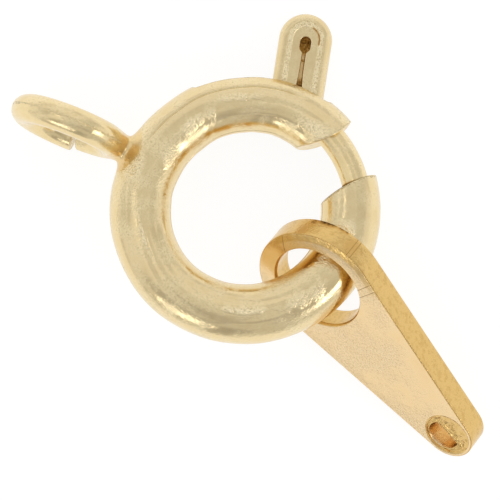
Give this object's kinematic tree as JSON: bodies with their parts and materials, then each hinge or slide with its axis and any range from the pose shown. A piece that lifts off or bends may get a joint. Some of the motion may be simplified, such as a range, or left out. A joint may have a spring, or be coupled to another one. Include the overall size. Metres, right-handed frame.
{
  "type": "spring ring clasp",
  "caption": "Spring ring clasp: a hollow tube ring whose gap is closed by a sprung sliding bolt with a thumb knob, with a soldered end loop and a teardrop chain tab hung on the ring.",
  "frame": {"origin": "centre of the ring's throat, where the chain's tab passes", "axes": "+Z up from the table that the clasp lies on; the ring's own axis leans 13 degrees from it; +X to the right and +Y up in the plan view, with the end loop to the upper left"},
  "size_m": [0.0105, 0.0099, 0.0026],
  "materials": {
    "ring_metal": "pale yellow gold, rolled, bent and tumble polished",
    "bolt_metal": "pale yellow gold wire, bent and pressed",
    "spring_metal": "drawn spring wire",
    "tab_metal": "rich yellow gold sheet, stamped and polished"
  },
  "bodies": {
    "clasp": {"ring_body": "ring_metal", "spring": "spring_metal", "chain_tab": "tab_metal"},
    "bolt": {"bolt": "bolt_metal"}
  },
  "joints": [
    {"name": "bolt_slide", "type": "hinge", "parent": "clasp", "child": "bolt", "pos_m": [0, 0, 0], "axis": [0.1153, 0.194, 0.9742], "range_deg": [0, 34.5], "stiffness_Nm_per_rad": 0.005, "springref_deg": -14.32, "deforming": ["spring"]}
  ]
}
